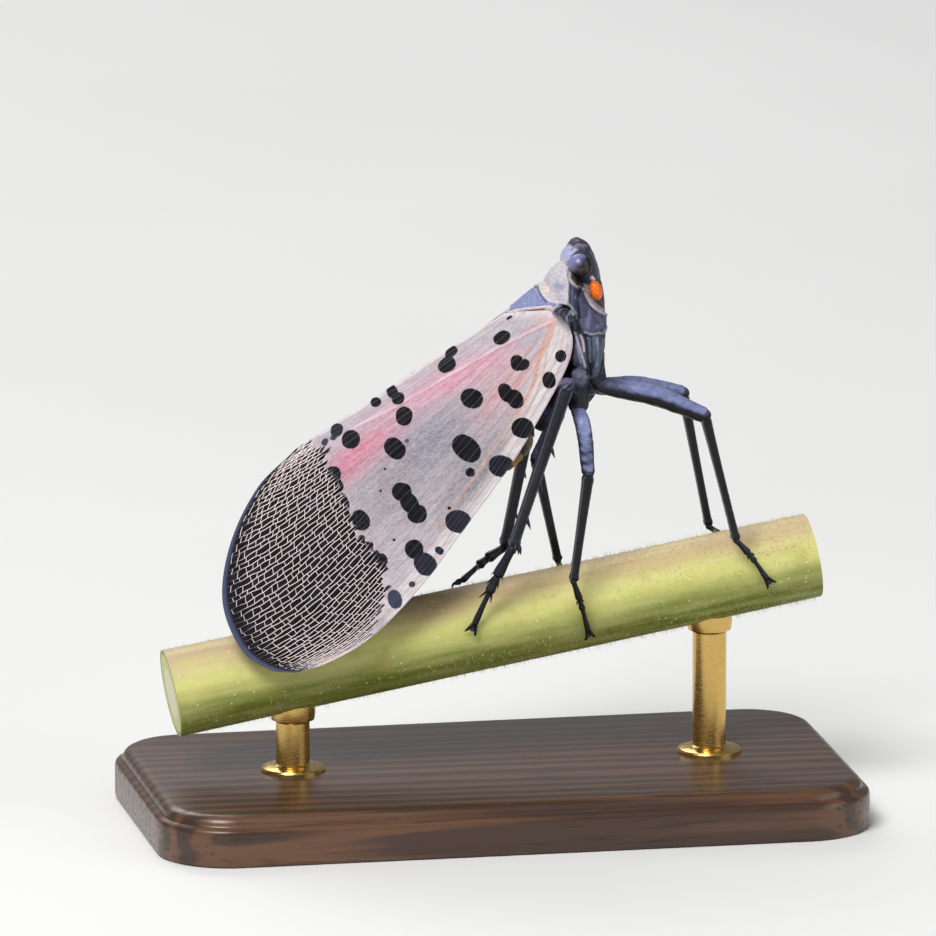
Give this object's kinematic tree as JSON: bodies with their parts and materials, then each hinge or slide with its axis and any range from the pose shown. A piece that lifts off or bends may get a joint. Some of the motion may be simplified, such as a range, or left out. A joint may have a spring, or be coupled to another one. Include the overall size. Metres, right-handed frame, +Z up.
{
  "type": "spotted lanternfly",
  "caption": "Life-size spotted lanternfly at rest on a cut stem, spotted wings folded like a roof, on a plain base with short rods.",
  "frame": {"origin": "centre of the underside of the stand's base", "axes": "+X the way the insect looks and the long side of the base, +Y its left, +Z up"},
  "size_m": [0.034, 0.018, 0.0273],
  "materials": {
    "black_cuticle": "blue-black insect skin, half glossy",
    "waxy_grey": "dark insect skin under a bluish white wax bloom",
    "pale_pronotum": "pinkish cream insect skin with slate smudges",
    "forewing": "leathery pinkish grey wing with black spots and a black tip net-veined in cream",
    "hindwing": "scarlet membrane with black spots, white band and black tip",
    "abdomen": "yellow with black bands",
    "eye": "glossy dark compound eye",
    "orange_pedicel": "bright orange pitted bulb, satin",
    "green_stem": "smooth yellow-green bark with fine pale hairs",
    "stand_wood": "dark stained hardwood, satin",
    "stand_brass": "polished brass rod"
  },
  "bodies": {
    "root": {"abdomen": "abdomen", "antenna_left": "orange_pedicel", "antenna_right": "orange_pedicel", "beak": "black_cuticle", "eye_left": "eye", "eye_right": "eye", "forewing_left": "forewing", "forewing_right": "forewing", "front_femur_left": "waxy_grey", "front_femur_right": "waxy_grey", "front_tarsus_left": "black_cuticle", "front_tarsus_right": "black_cuticle", "front_tibia_left": "black_cuticle", "front_tibia_right": "black_cuticle", "head": "black_cuticle", "hind_femur_left": "waxy_grey", "hind_femur_right": "waxy_grey", "hind_tarsus_left": "black_cuticle", "hind_tarsus_right": "black_cuticle", "hind_tibia_left": "black_cuticle", "hind_tibia_right": "black_cuticle", "hindwing_left": "hindwing", "hindwing_right": "hindwing", "middle_femur_left": "waxy_grey", "middle_femur_right": "waxy_grey", "middle_tarsus_left": "black_cuticle", "middle_tarsus_right": "black_cuticle", "middle_tibia_left": "black_cuticle", "middle_tibia_right": "black_cuticle", "perch_stem": "green_stem", "pronotum": "pale_pronotum", "stand_base": "stand_wood", "stand_rod_front": "stand_brass", "stand_rod_rear": "stand_brass", "tegula_left": "waxy_grey", "tegula_right": "waxy_grey", "thorax": "waxy_grey"}
  },
  "joints": []
}
